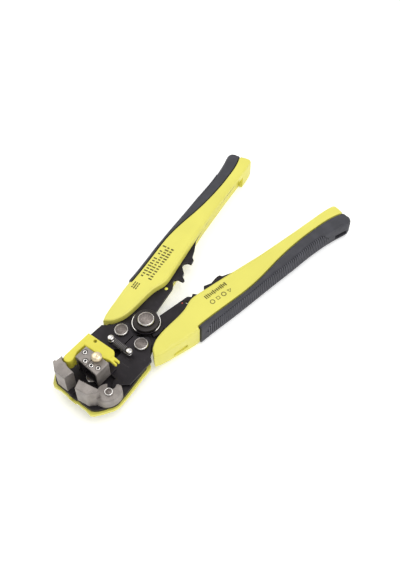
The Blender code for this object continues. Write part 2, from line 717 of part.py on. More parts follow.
def tension_spring():
    """Coil between the two posts with a loop round each."""
    z = DECK_Z + 2.25
    loop = PIN_NECK + SPRING_WIRE + GAP
    px, py = PIN_POST
    right = [(x, y, z) for x, y in arc(PIN_POST, loop, 150.0, -100.0, 12)]
    half = px - 2.6
    count = round(SPRING_TURNS * 8)
    coil = [
        (
            half - 2 * half * i / count,
            py + SPRING_COIL * math.cos(2 * math.pi * SPRING_TURNS * i / count + math.pi),
            z + SPRING_COIL * math.sin(2 * math.pi * SPRING_TURNS * i / count),
        )
        for i in range(count + 1)
    ]
    left = [(-x, 2 * py - y, up) for x, y, up in reversed(right)]
    wire("tension_spring", right + coil + left, SPRING_WIRE, BLACK, 5)


# ---------------------------------------------------------------- assembly

clear_scene()
PARTS = collection("wire_stripper")
CUTTERS = collection("cutters")

PIVOT_BORE = bore("pivot_bore", (0.0, 0.0), PIVOT_SHANK + GAP)
PIN_BORE = bore("head_pin_bore", HEAD_PIN, 1.8 + GAP)
PIN_CLEAR = bore("head_pin_clearance", HEAD_PIN, 1.8 + GAP + 0.3)
BOLT_BORE = bore("jaw_bolt_bore", at(-1, JAW_BOLT), BOLT_SHANK + GAP)
RIVET_BORES = {s: bore(f"rivet_bore_{s}", at(s, ARM), RIVET_SHANK + GAP) for s in (1, -1)}
POST_BORES = {s: bore(f"post_bore_{s}", at(s, PIN_POST), 1.2 + GAP) for s in (1, -1)}
WINDOWS = {s: bore(f"lever_window_{s}", at(s, (7.7, -26.0)), 0.9) for s in (1, -1)}

GUARDS, BASES = {}, {}
for SIDE, WORD in ((1, "right"), (-1, "left")):
    handle_cover(SIDE, f"{WORD}_handle_cover")
    grip(SIDE, f"{WORD}_grip")
    lower_plate(SIDE, f"{WORD}_lower_plate")
    GUARDS[SIDE] = guard(SIDE, f"{WORD}_guard")
    BASES[SIDE] = base_plate(SIDE, f"{WORD}_base_plate")
    TOP = upper_plate(SIDE, f"{WORD}_upper_plate")
    if SIDE < 0:
        join(TOP, finger())
    headed(
        f"{WORD}_rivet", at(SIDE, ARM), RIVET_SHANK, RIVET_HEAD, LOWER_Z - 1.5, LOWER_Z - GAP,
        DECK_Z, DECK_Z + 1.2, 0.6,
    )
    spring_pin(SIDE, f"{WORD}_spring_pin")
    blade(SIDE, f"{WORD}_blade")

lap(GUARDS[1], GUARDS[-1], GUARD_Z, HEAD_REACH + GUARD_LIP - 0.4)
lap(BASES[1], BASES[-1], LEVER_Z, HEAD_REACH - 0.4)
right_lever()
left_lever()
pivot_group()
centre_link()
head_pin()
fixed_jaw()
swing_jaw()
jaw_bolt()
carriage()
RIGHT_BLOCK = block(1, "right_block")
LEFT_BLOCK = block(-1, "left_block")
block_screw("right_rear_screw", 6.0, 40.2, RIGHT_BLOCK)
block_screw("right_front_screw", 2.2, 43.8, RIGHT_BLOCK)
block_screw("left_inner_screw", -2.1, 43.9, LEFT_BLOCK)
block_screw("left_outer_screw", -5.9, 42.8, LEFT_BLOCK)
depth_knob(LEFT_BLOCK)
wire_stop()
tension_spring()
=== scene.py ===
"""Self-adjusting wire stripper: finished parts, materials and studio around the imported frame."""

import json
import math

import bmesh
import bpy
from bpy.props import FloatProperty, FloatVectorProperty, IntProperty, PointerProperty
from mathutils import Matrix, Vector


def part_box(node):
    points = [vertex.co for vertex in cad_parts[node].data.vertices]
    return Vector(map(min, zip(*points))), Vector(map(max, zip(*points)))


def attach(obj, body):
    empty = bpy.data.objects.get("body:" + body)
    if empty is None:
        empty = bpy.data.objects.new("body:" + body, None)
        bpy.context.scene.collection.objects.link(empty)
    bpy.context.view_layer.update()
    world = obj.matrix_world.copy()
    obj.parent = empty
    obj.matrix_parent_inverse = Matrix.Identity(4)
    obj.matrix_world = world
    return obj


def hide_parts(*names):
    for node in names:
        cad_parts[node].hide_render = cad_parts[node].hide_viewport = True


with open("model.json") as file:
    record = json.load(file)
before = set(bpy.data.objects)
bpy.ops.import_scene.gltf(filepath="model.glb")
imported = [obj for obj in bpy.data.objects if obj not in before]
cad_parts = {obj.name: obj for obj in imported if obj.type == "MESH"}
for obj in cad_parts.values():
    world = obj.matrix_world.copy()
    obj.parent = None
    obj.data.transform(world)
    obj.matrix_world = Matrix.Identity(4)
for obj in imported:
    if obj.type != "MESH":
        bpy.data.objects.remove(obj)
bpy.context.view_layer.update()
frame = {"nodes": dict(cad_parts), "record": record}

bl_info = {
    "name": "Wire stripper",
    "version": (1, 0, 0),
    "blender": (4, 5, 0),
    "location": "3D View > Sidebar > Stripper",
    "description": "Finished parts and materials of a self-adjusting wire stripper",
    "category": "Add Mesh",
}

MM = 0.001
RAY_LENGTH = 0.2  # farther than any grip reaches
RAY_START = 0.03  # outside a grip, from the middle of its section
POST_TALL = 4.2 * MM  # spring post above the plates
POST_GROOVE = 1.6 * MM  # foot of its groove above the plates
KNOB_TALL = 2.5 * MM
FLOOR_HALF = 3.0
CAMERA_PLACE = Vector((-0.1676, 0.1595, 0.3547))
CAMERA_AIM = Vector((-0.0001, -0.0474, 0.0))
KNOB_SLOT = 0.35 * MM  # half the width of the depth screw's slot
KNOB_SLOT_TURN = math.radians(35.0)
SIDES = {"right": 1, "left": -1}
BODY_OF = {node: body for body, nodes in frame["record"]["behaviour"]["bodies"].items() for node in nodes}


# ---------------------------------------------------------------- settings


def length(name, description, default, low, high):
    return FloatProperty(
        name=name, description=description, default=default * MM, min=low * MM, max=high * MM,
        unit="LENGTH", subtype="DISTANCE", precision=5,
    )


def colour(name, description, default):
    return FloatVectorProperty(
        name=name, description=description, default=default, min=0.0, max=1.0, size=3, subtype="COLOR"
    )


class StripperSizes(bpy.types.PropertyGroup):
    rib_pitch: length("Rib pitch", "Distance between the ribs of the rubber grips", 1.58, 0.8, 4.0)
    rib_radius: length("Rib radius", "Half the thickness of one rib", 0.46, 0.1, 1.0)
    rib_start: length("Rib start", "Distance of the first rib behind the main pivot", 19.5, 18.0, 60.0)
    rib_end: length("Rib end", "Distance of the last rib behind the main pivot", 121.0, 80.0, 125.0)
    steel_edge: length("Steel edge", "Width of the broken edge on sheet steel parts", 0.14, 0.02, 0.5)
    jaw_edge: length("Jaw edge", "Width of the broken edge on jaws and blocks", 0.2, 0.02, 0.6)
    plastic_edge: length("Plastic edge", "Rounding added to the moulded covers", 0.35, 0.05, 1.0)
    knurl_count: IntProperty(
        name="Knurl count", description="Teeth round the depth screw", default=36, min=8, max=80
    )
    tick_pitch: length("Tick pitch", "Row distance of the marks on the right cover", 2.1, 1.0, 5.0)


class StripperColours(bpy.types.PropertyGroup):
    yellow: colour("Cover plastic", "Colour of the moulded covers", (0.75, 0.70, 0.13))
    stop: colour("Stop plastic", "Colour of the wire stop", (0.72, 0.65, 0.065))
    rubber: colour("Rubber", "Colour of the grips", (0.047, 0.047, 0.056))
    black: colour("Black steel", "Colour of the blackened sheet steel", (0.021, 0.018, 0.021))
    sinter: colour("Sintered steel", "Colour of the jaws and blocks", (0.295, 0.266, 0.246))
    bright: colour("Bright steel", "Colour of rivets and posts", (0.78, 0.75, 0.72))
    face: colour("Rivet face", "Colour of the ground rivet faces", (0.195, 0.17, 0.156))
    brass: colour("Brass", "Colour of the depth screw", (0.86, 0.73, 0.50))
    ink: colour("Ink", "Colour of the printed marks", (0.10, 0.085, 0.012))


class StudioSettings(bpy.types.PropertyGroup):
    floor: colour("Floor", "Colour of the studio floor", (0.93, 0.93, 0.93))
    key: FloatProperty(
        name="Key light", description="Power of the main light", default=2.9, min=0.0, unit="POWER"
    )
    fill: FloatProperty(
        name="Fill light", description="Power of the side light", default=1.3, min=0.0, unit="POWER"
    )
    sky: FloatProperty(name="Sky", description="Strength of the white surroundings", default=0.68, min=0.0)


# ---------------------------------------------------------------- node trees


class Wire:
    """An output socket that takes part in Python arithmetic by adding Math nodes."""

    def __init__(self, graph, socket):
        self.graph, self.socket = graph, socket

    def math(self, operation, first, second=0.0):
        node = self.graph.add("ShaderNodeMath", {"operation": operation}, {0: first, 1: second})
        return Wire(self.graph, node.outputs[0])

    def __add__(self, other):
        return self.math("ADD", self, other)

    def __radd__(self, other):
        return self.math("ADD", other, self)

    def __sub__(self, other):
        return self.math("SUBTRACT", self, other)

    def __rsub__(self, other):
        return self.math("SUBTRACT", other, self)

    def __mul__(self, other):
        return self.math("MULTIPLY", self, other)

    def __rmul__(self, other):
        return self.math("MULTIPLY", other, self)

    def __truediv__(self, other):
        return self.math("DIVIDE", self, other)

    def __lt__(self, other):
        return self.math("LESS_THAN", self, other)

    def at_most(self, other):
        return self.math("MINIMUM", self, other)

    def at_least(self, other):
        return self.math("MAXIMUM", self, other)

    def root(self):
        return self.math("SQRT", self)

    def ramp(self, low, high):
        """0 below low, 1 above high and a smooth rise between them."""
        node = self.graph.add(
            "ShaderNodeMapRange", {"interpolation_type": "SMOOTHSTEP"}, {0: self, 1: low, 2: high}
        )
        return Wire(self.graph, node.outputs[0])


class Graph:
    """Adds nodes to one tree: settings first, then the values or links of the inputs."""

    def __init__(self, tree):
        self.tree = tree

    def add(self, kind, settings=None, inputs=None):
        node = self.tree.nodes.new(kind)
        for name, value in (settings or {}).items():
            setattr(node, name, value)
        for name, value in (inputs or {}).items():
            if isinstance(value, Wire):
                self.tree.links.new(value.socket, node.inputs[name])
            else:
                node.inputs[name].default_value = value
        return node

    def get(self, kind, settings=None, inputs=None, output=0):
        return Wire(self, self.add(kind, settings, inputs).outputs[output])

    def place(self):
        return self.get("ShaderNodeTexCoord", output="Object")

    def axes(self, vector):
        node = self.add("ShaderNodeSeparateXYZ", None, {0: vector})
        return [Wire(self, socket) for socket in node.outputs]

    def stretched(self, scale, turn=0.0):
        settings = {"Vector": self.place(), "Scale": scale, "Rotation": (0.0, 0.0, turn)}
        return self.get("ShaderNodeMapping", None, settings)

    def noise(self, grain, detail=3.0, vector=None):
        """Noise whose features are about grain millimetres across."""
        inputs = {"Vector": vector or self.place(), "Scale": 1.0 / (grain * MM), "Detail": detail}
        return self.get("ShaderNodeTexNoise", None, inputs)

    def mix(self, factor, first, second):
        """Colour between first and second."""
        node = self.add("ShaderNodeMix", {"data_type": "RGBA"}, {0: factor, 6: first, 7: second})
        return Wire(self, node.outputs[2])

    def bump(self, height, depth, strength=1.0):
        inputs = {"Height": height, "Distance": depth * MM, "Strength": strength}
        return self.get("ShaderNodeBump", None, inputs)


def rgba(value, gain=1.0):
    return tuple(min(1.0, channel * gain) for channel in value) + (1.0,)


def new_material(name, viewport):
    made = bpy.data.materials.new(name)
    made.use_nodes = True
    made.diffuse_color = rgba(viewport)
    made.node_tree.nodes.clear()
    return made, Graph(made.node_tree)


def surface(graph, inputs):
    shader = graph.get("ShaderNodeBsdfPrincipled", None, inputs)
    graph.add("ShaderNodeOutputMaterial", None, {"Surface": shader})


# ---------------------------------------------------------------- finishes


def moulded_plastic(name, tint):
    """Satin moulded plastic: fine spark texture, faint flow clouds, handling marks in the gloss."""
    made, g = new_material(name, tint)
    clouds = g.noise(22.0, 2.0)
    spark = g.noise(0.32, 2.0)
    marks = g.noise(5.0, 5.0, g.stretched((1.0, 0.25, 1.0)))
    base = g.mix(clouds.ramp(0.3, 0.75), rgba(tint, 0.965), rgba(tint, 1.03))
    surface(g, {
        "Base Color": base,
        "Roughness": 0.36 + 0.14 * marks.ramp(0.35, 0.7),
        "Specular IOR Level": 0.45,
        "Normal": g.bump(spark, 0.035, 0.5),
    })
    return made


def soft_rubber(name, tint):
    """Dull thermoplastic rubber with a dusty bloom and a grained skin."""
    made, g = new_material(name, tint)
    bloom = g.noise(7.0, 5.0)
    skin = g.noise(0.22, 3.0)
    base = g.mix(bloom.ramp(0.35, 0.75), rgba(tint, 0.88), rgba(tint, 1.22))
    surface(g, {
        "Base Color": base,
        "Roughness": 0.58 + 0.16 * bloom,
        "Specular IOR Level": 0.42,
        "Normal": g.bump(skin, 0.05, 0.6),
    })
    return made


def blackened_steel(name, tint, worn=0.0, dull=0.34):
    """Blackened sheet steel: rolled grain along the tool, small scuffs, edges rubbed towards grey."""
    made, g = new_material(name, tint)
    rolled = g.noise(1.1, 4.0, g.stretched((3.0, 0.35, 1.0)))
    patches = g.noise(9.0, 4.0)
    pits = g.noise(0.25, 2.0)
    scuff = g.noise(2.4, 8.0, g.stretched((0.4, 2.2, 1.0), 0.5)).ramp(0.66, 0.74)
    dark = g.mix(patches.ramp(0.3, 0.7), rgba(tint, 0.8), rgba(tint, 1.35))
    wear_and_highlight = g.mix(worn + 0.22 * scuff, dark, (0.16, 0.15, 0.15, 1.0))
    surface(g, {
        "Base Color": wear_and_highlight,
        "Metallic": 0.35,
        "Specular IOR Level": 0.25,
        "Roughness": dull + 0.2 * patches + 0.08 * rolled,
        "Normal": g.bump(rolled * 0.4 + pits * 0.6, 0.02, 0.5),
    })
    return made


def sintered_steel(name, tint, worn=0.0):
    """Pressed and sintered steel: even powder grain, dark pores, paler rubbed edges."""
    made, g = new_material(name, tint)
    powder = g.noise(0.3, 4.0)
    pores = g.noise(0.55, 2.0).ramp(0.62, 0.72)
    patches = g.noise(4.5, 4.0)
    base = g.mix(patches.ramp(0.3, 0.72), rgba(tint, 0.84), rgba(tint, 1.14))
    pored = g.mix(pores * 0.55, base, rgba(tint, 0.45))
    pale = g.mix(worn, pored, (0.62, 0.59, 0.56, 1.0))
    surface(g, {
        "Base Color": pale,
        "Metallic": 0.62,
        "Roughness": 0.4 + 0.16 * powder,
        "Normal": g.bump(powder - pores * 0.4, 0.03, 0.6),
    })
    return made


def bright_steel(name, tint, roughness=0.18):
    """Nickel-bright steel with fine polishing haze."""
    made, g = new_material(name, tint)
    haze = g.noise(2.0, 6.0)
    lines = g.noise(0.5, 3.0, g.stretched((0.5, 5.0, 1.0), 0.3))
    surface(g, {
        "Base Color": g.mix(haze.ramp(0.35, 0.7), rgba(tint, 0.9), rgba(tint, 1.06)),
        "Metallic": 1.0,
        "Roughness": roughness + 0.14 * haze,
        "Normal": g.bump(lines, 0.008, 0.4),
    })
    return made


def ground_face(name, tint):
    """Flat rivet face left matt by grinding, warm grey with a mottled grain."""
    made, g = new_material(name, tint)
    mottle = g.noise(0.9, 6.0)
    grain = g.noise(0.18, 3.0)
    surface(g, {
        "Base Color": g.mix(mottle.ramp(0.32, 0.72), rgba(tint, 0.78), rgba(tint, 1.25)),
        "Metallic": 0.75,
        "Roughness": 0.4 + 0.2 * mottle,
        "Normal": g.bump(grain, 0.03, 0.7),
    })
    return made


def turned_brass(name, tint):
    """Pale brass, turned, with slight tarnish in random patches."""
    made, g = new_material(name, tint)
    tarnish = g.noise(1.4, 5.0)
    surface(g, {
        "Base Color": g.mix(tarnish.ramp(0.4, 0.8), rgba(tint), rgba(tint, 0.72)),
        "Metallic": 0.9,
        "Roughness": 0.22 + 0.2 * tarnish,
        "Normal": g.bump(g.noise(0.2), 0.012, 0.5),
    })
    return made


def ring_painted_highlight(name, bright, dark):
    """Black ring with a painted highlight: bright steel painted on two opposite sides, where light catches
    its rounded edge, black elsewhere.
    """
    made, g = new_material(name, bright)
    x, y, _ = g.axes(g.place())
    along = (x * 0.78 + y * 0.63) / (((x * x + y * y).root()).at_least(1e-5))
    # painted highlight: bright and glossier on the two opposite sides of the ring
    wear_and_highlight = (along * along).ramp(0.35, 0.62)
    surface(g, {
        "Base Color": g.mix(wear_and_highlight, rgba(dark, 1.2), rgba(bright, 1.1)),
        "Metallic": 1.0,
        "Roughness": 0.42 - 0.26 * wear_and_highlight + 0.08 * g.noise(0.8),
    })
    return made


def printed_ink(name, tint):
    made, g = new_material(name, tint)
    thin = g.noise(0.5, 3.0)
    surface(g, {
        "Base Color": g.mix(thin.ramp(0.45, 0.8), rgba(tint), rgba(tint, 2.2)),
        "Roughness": 0.5 + 0.1 * thin,
    })
    return made


FINISH = {}


def mix_finishes(colours):
    """Make every material once."""
    FINISH.update({
        "yellow": moulded_plastic("yellow_plastic", colours.yellow),
        "stop": moulded_plastic("stop_plastic", colours.stop),
        "rubber": soft_rubber("dark_rubber", colours.rubber),
        "black": blackened_steel("black_steel", colours.black),
        "black_edge": blackened_steel("black_steel_edge", colours.black, 0.28),
        "sinter": sintered_steel("sintered_steel", colours.sinter),
        "sinter_edge": sintered_steel("sintered_steel_edge", colours.sinter, 0.5),
        "bright": bright_steel("bright_steel", colours.bright),
        "face": ground_face("ground_rivet_face", colours.face),
        "pivot_face": ground_face("pivot_rivet_face", [1.32 * value for value in colours.face]),
        "disc": blackened_steel("disc_steel", (0.034, 0.029, 0.027)),
        "coil": blackened_steel("coil_steel", (0.17, 0.16, 0.16), 0.3, 0.1),
        # lit and shaded copies of the grip rubber: lighter for the rib tops (painted highlight), near-black
        # for the grooves (painted shade)
        "rib": soft_rubber("rib_rubber_painted_light", [2.1 * value for value in colours.rubber]),
        "gap": soft_rubber("gap_rubber", [0.18 * value for value in colours.rubber]),
        "brass": turned_brass("brass", colours.brass),
        # the pivot washer's ring, with a painted highlight on two opposite sides
        "ring": ring_painted_highlight("painted_highlight_ring", colours.bright, colours.black),
        "ink": printed_ink("printed_ink", colours.ink),
        "red": printed_ink("red_paint", (0.55, 0.06, 0.03)),
        "dot": moulded_plastic("yellow_paint", (0.85, 0.83, 0.12)),
    })


# ---------------------------------------------------------------- mesh help


def link(mesh, name, finishes):
    """An object for the mesh, with the named finishes in its slots."""
    made = bpy.data.objects.new(name, mesh)
    bpy.context.scene.collection.objects.link(made)
    for finish in finishes:
        mesh.materials.append(FINISH[finish])
    return made


def shade(mesh_data, limit=32.0):
    """Smooth faces with sharp edges where they meet at more than limit degrees."""
    for face in mesh_data.faces:
        face.smooth = True
    for edge in mesh_data.edges:
        flat = len(edge.link_faces) == 2 and edge.calc_face_angle(0.0) < math.radians(limit)
        edge.smooth = flat


def settle(made):
    """Turn the object's modifiers into its plain mesh."""
    graph = bpy.context.evaluated_depsgraph_get()
    graph.update()
    mesh = bpy.data.meshes.new_from_object(made.evaluated_get(graph))
    made.modifiers.clear()
    made.data = mesh
    return made


def adopt(made, body, slot, *nodes):
    """Ride on the body and stand for the CAD nodes; the slot argument is not used."""
    if nodes:
        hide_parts(*nodes)
    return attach(made, body)


def edged(node, finishes, slot, width, segments=2, limit=30.0):
    """A copy of the CAD node with broken edges and even shading, riding where the node rides."""
    mesh_data = bmesh.new()
    mesh_data.from_mesh(frame["nodes"][node].data)
    bmesh.ops.remove_doubles(mesh_data, verts=mesh_data.verts[:], dist=0.004 * MM)
    bmesh.ops.dissolve_limit(
        mesh_data, angle_limit=math.radians(0.8), verts=mesh_data.verts[:], edges=mesh_data.edges[:],
        delimit=set(),
    )
    shade(mesh_data, limit)
    mesh = bpy.data.meshes.new(f"{node}_finished")
    mesh_data.to_mesh(mesh)
    mesh_data.free()
    made = link(mesh, f"{node}_finished", finishes)
    bevel = made.modifiers.new("edges", "BEVEL")
    bevel.width, bevel.segments = width, segments
    bevel.limit_method, bevel.angle_limit = "ANGLE", math.radians(limit)
    bevel.material = len(finishes) - 1
    even = made.modifiers.new("shading", "WEIGHTED_NORMAL")
    even.keep_sharp = True
    settle(made)
    return adopt(made, BODY_OF[node], slot, node)


def turned_rings(mesh_data, centre, profile, sides):
    """A ring of vertices round the centre for each (radius, height, slot) of the profile."""
    return [
        [
            mesh_data.verts.new((
                centre[0] + radius * math.cos(2 * math.pi * i / sides),
                centre[1] + radius * math.sin(2 * math.pi * i / sides),
                height,
            ))
            for i in range(sides)
        ]
        for radius, height, _ in profile
    ]


def skin(mesh_data, low, high, band):
    """Faces between two rings, in the material slot of the band."""
    for i, j in zip(range(len(low)), [*range(1, len(low)), 0]):
        mesh_data.faces.new((low[i], low[j], high[j], high[i])).material_index = band


def turned_object(mesh_data, name, finishes):
    shade(mesh_data)
    mesh = bpy.data.meshes.new(name)
    mesh_data.to_mesh(mesh)
    mesh_data.free()
    return link(mesh, name, finishes)


def lathe(name, centre, profile, finishes, sides=80):
    """Closed turned part from (radius, height, slot of the band above) in metres, foot first."""
    mesh_data = bmesh.new()
    rings = turned_rings(mesh_data, centre, profile, sides)
    for low, high, (_, _, band) in zip(rings, rings[1:], profile):
        skin(mesh_data, low, high, band)
    mesh_data.faces.new(rings[0][::-1]).material_index = profile[0][2]
    mesh_data.faces.new(rings[-1]).material_index = profile[-1][2]
    return turned_object(mesh_data, name, finishes)


def washer(name, centre, profile, finishes, sides=96):
    """Closed ring turned from a profile that returns to its start."""
    mesh_data = bmesh.new()
    rings = turned_rings(mesh_data, centre, profile, sides)
    for low, high, (_, _, band) in zip(rings, rings[1:] + rings[:1], profile):
        skin(mesh_data, low, high, band)
    return turned_object(mesh_data, name, finishes)


def middle(node):
    low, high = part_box(node)
    return ((low.x + high.x) / 2, (low.y + high.y) / 2)


def radius_of(node):
    low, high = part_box(node)
    return (high.x - low.x) / 2


# ---------------------------------------------------------------- geometry nodes


def geometry_tree(name, inputs):
    """An empty geometry tree with the named inputs; returns the graph and its input wires."""
    tree = bpy.data.node_groups.new(name, "GeometryNodeTree")
    for label, kind, default in inputs:
        socket = tree.interface.new_socket(label, in_out="INPUT", socket_type=kind)
        if default is not None:
            socket.default_value = default
    tree.interface.new_socket("Geometry", in_out="OUTPUT", socket_type="NodeSocketGeometry")
    graph = Graph(tree)
    group = graph.add("NodeGroupInput")
    wires = {label: Wire(graph, group.outputs[label]) for label, _, _ in inputs}
    return graph, wires


def close_tree(graph, geometry, finish):
    realised = graph.get("GeometryNodeRealizeInstances", None, {0: geometry})
    painted = graph.get("GeometryNodeSetMaterial", None, {"Geometry": realised, "Material": FINISH[finish]})
    graph.add("NodeGroupOutput", None, {0: painted})


def grown(name, graph, values, finish):
    """Evaluate the tree on an empty mesh with the given inputs and keep the plain result."""
    made = link(bpy.data.meshes.new(name), name, [finish])
    modifier = made.modifiers.new("nodes", "NODES")
    modifier.node_group = graph.tree
    for item in graph.tree.interface.items_tree:
        if item.in_out == "INPUT" and item.name in values:
            modifier[item.identifier] = values[item.name]
    made = settle(made)
    if not made.data.polygons:
        raise RuntimeError(f"{name} came out empty")
    made.data.materials.clear()
    made.data.materials.append(FINISH[finish])
    for polygon in made.data.polygons:
        polygon.material_index = 0
        polygon.use_smooth = True
    return made


def rib_tree():
    """Ribs that wrap the outer side of a grip: rays from an arc of directions find its surface."""
    graph, given = geometry_tree("grip_ribs", [
        ("Grip", "NodeSocketObject", None), ("Side", "NodeSocketFloat", 1.0),
        ("Start", "NodeSocketFloat", 0.0195), ("Pitch", "NodeSocketFloat", 0.0015),
        ("Count", "NodeSocketInt", 60), ("Radius", "NodeSocketFloat", 0.0004),
        ("Middle", "NodeSocketFloat", 0.0075), ("Inset", "NodeSocketFloat", 0.0035),
    ])
    straight = graph.get("GeometryNodeCurvePrimitiveLine", None, {"Start": (0, 0, 0), "End": (1, 0, 0)})
    arch = graph.get("GeometryNodeResampleCurve", None, {"Curve": straight, "Count": 16})
    rows = graph.get("GeometryNodePoints", None, {"Count": given["Count"]})
    many = graph.get("GeometryNodeInstanceOnPoints", None, {"Points": rows, "Instance": arch})
    numbered = graph.get(
        "GeometryNodeStoreNamedAttribute", {"data_type": "FLOAT", "domain": "INSTANCE"},
        {"Geometry": many, "Name": "row", "Value": graph.get("GeometryNodeInputIndex")},
    )
    loose = graph.get("GeometryNodeRealizeInstances", None, {0: numbered})
    row = graph.get("GeometryNodeInputNamedAttribute", {"data_type": "FLOAT"}, {"Name": "row"})
    along = graph.get("GeometryNodeSplineParameter", output="Factor")

    y = -1.0 * (given["Start"] + row * given["Pitch"])
    grip = graph.get(
        "GeometryNodeObjectInfo", {"transform_space": "ORIGINAL"}, {"Object": given["Grip"]}, "Geometry"
    )

    def meet(origin, direction):
        node = graph.add(
            "GeometryNodeRaycast", {"data_type": "FLOAT"},
            {
                "Target Geometry": grip, "Source Position": origin, "Ray Direction": direction,
                "Ray Length": RAY_LENGTH,
            },
        )
        return Wire(graph, node.outputs["Hit Position"])

    def vector(x, v, z):
        return graph.get("ShaderNodeCombineXYZ", None, {0: x, 1: v, 2: z})

    outside = vector(given["Side"] * (RAY_LENGTH / 2), y, given["Middle"])
    flank = graph.axes(meet(outside, vector(-1.0 * given["Side"], 0.0, 0.0)))[0]
    heart = vector(flank - given["Side"] * given["Inset"], y, given["Middle"])
    share = row / (given["Count"] - 1.0)
    ends = (share * 36.0).at_most((1.0 - share) * 18.0).at_most(1.0)
    width = ends.math("SINE", ends * (math.pi / 2)) * 0.9 + 0.1
    top, foot = share * 0.25 + 1.02, -0.72
    centre = top * 0.5 + foot * 0.5
    angle = centre + (along - 0.5) * (top - foot) * width
    east = angle.math("COSINE", angle) * given["Side"]
    up = angle.math("SINE", angle)
    outward = vector(east, 0.0, up)
    far = graph.get(
        "ShaderNodeVectorMath", {"operation": "MULTIPLY_ADD"}, {0: outward, 1: (RAY_START,) * 3, 2: heart}
    )
    inward = graph.get("ShaderNodeVectorMath", {"operation": "SCALE"}, {0: outward, "Scale": -1.0})
    seated = graph.get("GeometryNodeSetPosition", None, {"Geometry": loose, "Position": meet(far, inward)})
    section = graph.get(
        "GeometryNodeCurvePrimitiveCircle", None, {"Resolution": 8, "Radius": given["Radius"]}
    )
    swept = graph.get(
        "GeometryNodeCurveToMesh", None, {"Curve": seated, "Profile Curve": section, "Fill Caps": True}
    )
    close_tree(graph, swept, "rubber")
    return graph


def knurl_tree():
    """Upright teeth round a screw head."""
    graph, given = geometry_tree("knurl", [
        ("Centre", "NodeSocketVector", None), ("Radius", "NodeSocketFloat", 0.003),
        ("Height", "NodeSocketFloat", 0.001), ("Count", "NodeSocketInt", 36),
        ("Tooth", "NodeSocketFloat", 0.0002),
    ])
    ring = graph.get(
        "GeometryNodeCurvePrimitiveCircle", None, {"Resolution": given["Count"], "Radius": given["Radius"]}
    )
    spots = graph.get("GeometryNodeCurveToPoints", {"mode": "EVALUATED"}, {"Curve": ring})
    tooth = graph.get(
        "GeometryNodeMeshCylinder", None,
        {"Vertices": 6, "Radius": given["Tooth"], "Depth": given["Height"]}, "Mesh",
    )
    many = graph.get("GeometryNodeInstanceOnPoints", None, {"Points": spots, "Instance": tooth})
    moved = graph.get("GeometryNodeTransform", None, {"Geometry": many, "Translation": given["Centre"]})
    close_tree(graph, moved, "brass")
    return graph


def tick_tree():
    """Rows of short printed dashes of uneven length, with some left out."""
    graph, given = geometry_tree("printed_rows", [
        ("Place", "NodeSocketVector", None), ("Turn", "NodeSocketFloat", 0.0),
        ("Rows", "NodeSocketInt", 12), ("Columns", "NodeSocketInt", 3),
        ("Row pitch", "NodeSocketFloat", 0.002), ("Column pitch", "NodeSocketFloat", 0.0024),
        ("Dash length", "NodeSocketFloat", 0.0016), ("Dash width", "NodeSocketFloat", 0.0006),
        ("Thickness", "NodeSocketFloat", 0.00003), ("Left out", "NodeSocketFloat", 0.2),
        ("Seed", "NodeSocketInt", 4),
    ])
    wide = given["Column pitch"] * (given["Columns"] - 1.0)
    tall = given["Row pitch"] * (given["Rows"] - 1.0)
    sheet = graph.get("GeometryNodeMeshGrid", None, {
        "Size X": wide, "Size Y": tall, "Vertices X": given["Columns"], "Vertices Y": given["Rows"],
    }, "Mesh")
    spots = graph.get("GeometryNodeMeshToPoints", None, {"Mesh": sheet})
    chance = graph.get(
        "FunctionNodeRandomValue", {"data_type": "FLOAT"}, {2: 0.0, 3: 1.0, "Seed": given["Seed"]}, 1
    )
    kept = graph.get(
        "GeometryNodeDeleteGeometry", {"domain": "POINT"},
        {"Geometry": spots, "Selection": chance < given["Left out"]},
    )
    size = graph.get(
        "ShaderNodeCombineXYZ", None, {0: given["Dash length"], 1: given["Dash width"], 2: given["Thickness"]}
    )
    dash = graph.get("GeometryNodeMeshCube", None, {"Size": size}, "Mesh")
    stretch = graph.get(
        "FunctionNodeRandomValue", {"data_type": "FLOAT"}, {2: 0.65, 3: 1.3, "Seed": given["Seed"] + 7.0}, 1
    )
    scale = graph.get("ShaderNodeCombineXYZ", None, {0: stretch, 1: 1.0, 2: 1.0})
    many = graph.get(
        "GeometryNodeInstanceOnPoints", None, {"Points": kept, "Instance": dash, "Scale": scale}
    )
    spin = graph.get("ShaderNodeCombineXYZ", None, {2: given["Turn"]})
    moved = graph.get(
        "GeometryNodeTransform", None, {"Geometry": many, "Translation": given["Place"], "Rotation": spin}
    )
    close_tree(graph, moved, "ink")
    return graph


# ---------------------------------------------------------------- operators


class MixFinishes(bpy.types.Operator):
    """Make the plastic, rubber, steel, brass and ink materials"""

    bl_idname = "stripper.mix_finishes"
    bl_label = "Mix finishes"

    def execute(self, context):
        mix_finishes(context.scene.stripper_colours)
        return {"FINISHED"}


class MouldCovers(bpy.types.Operator):
    """Finish the two moulded handle covers"""

    bl_idname = "stripper.mould_covers"
    bl_label = "Handle covers"

    def execute(self, context):
        sizes = context.scene.stripper_sizes
        for side in SIDES:
            edged(f"{side}_handle_cover", ["yellow"], "yellow_plastic", sizes.plastic_edge, 2, 24.0)
        return {"FINISHED"}


